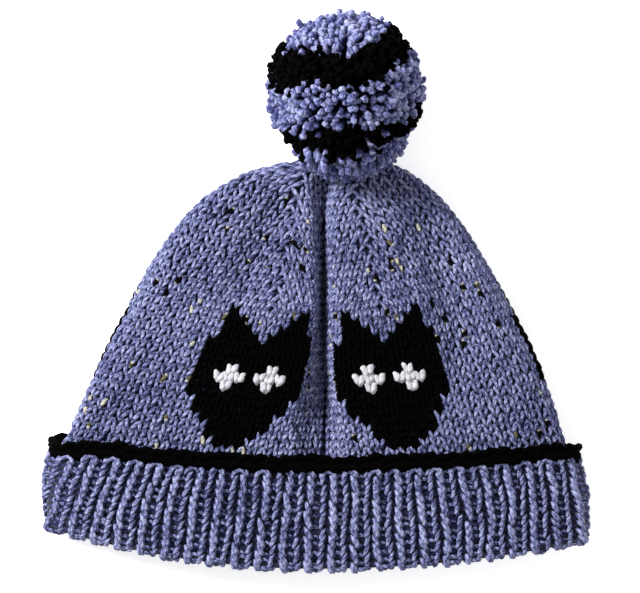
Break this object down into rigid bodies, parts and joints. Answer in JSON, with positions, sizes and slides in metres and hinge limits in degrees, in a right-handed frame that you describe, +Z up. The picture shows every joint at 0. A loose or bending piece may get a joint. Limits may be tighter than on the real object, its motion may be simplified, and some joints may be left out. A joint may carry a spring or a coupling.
{
  "type": "knitted bobble hat",
  "caption": "Knitted bobble hat lying flat, with worked-in cat heads, a ribbed turned-up cuff with a dark cast-on edge, and a striped yarn pompom.",
  "frame": {"origin": "on the surface that the hat lies on, under the middle of its bounding box", "axes": "+Z up from the surface to the hat's front, +Y along the hat from its mouth to its pompom, +X to the right of the front"},
  "size_m": [0.2506, 0.2552, 0.0704],
  "materials": {
    "blue_tweed_yarn": "heathered blue-violet wool with small cream, olive and black tweed flecks",
    "black_yarn": "matt black wool",
    "white_yarn": "matt white wool"
  },
  "bodies": {
    "root": {"crown": "blue_tweed_yarn", "cuff": "blue_tweed_yarn", "cast_on_edge": "black_yarn", "cat_1": "black_yarn", "cat_1_eye_a": "white_yarn", "cat_1_eye_b": "white_yarn", "cat_2": "black_yarn", "cat_2_eye_a": "white_yarn", "cat_2_eye_b": "white_yarn", "cat_3": "black_yarn", "cat_3_eye_a": "white_yarn", "cat_3_eye_b": "white_yarn", "cat_4": "black_yarn", "cat_4_eye_a": "white_yarn", "cat_4_eye_b": "white_yarn", "cat_5": "black_yarn", "cat_5_eye_a": "white_yarn", "cat_5_eye_b": "white_yarn", "pompom_foot": "blue_tweed_yarn", "pompom_lower_band": "black_yarn", "pompom_middle": "blue_tweed_yarn", "pompom_upper_band": "black_yarn", "pompom_cap": "blue_tweed_yarn"}
  },
  "joints": []
}
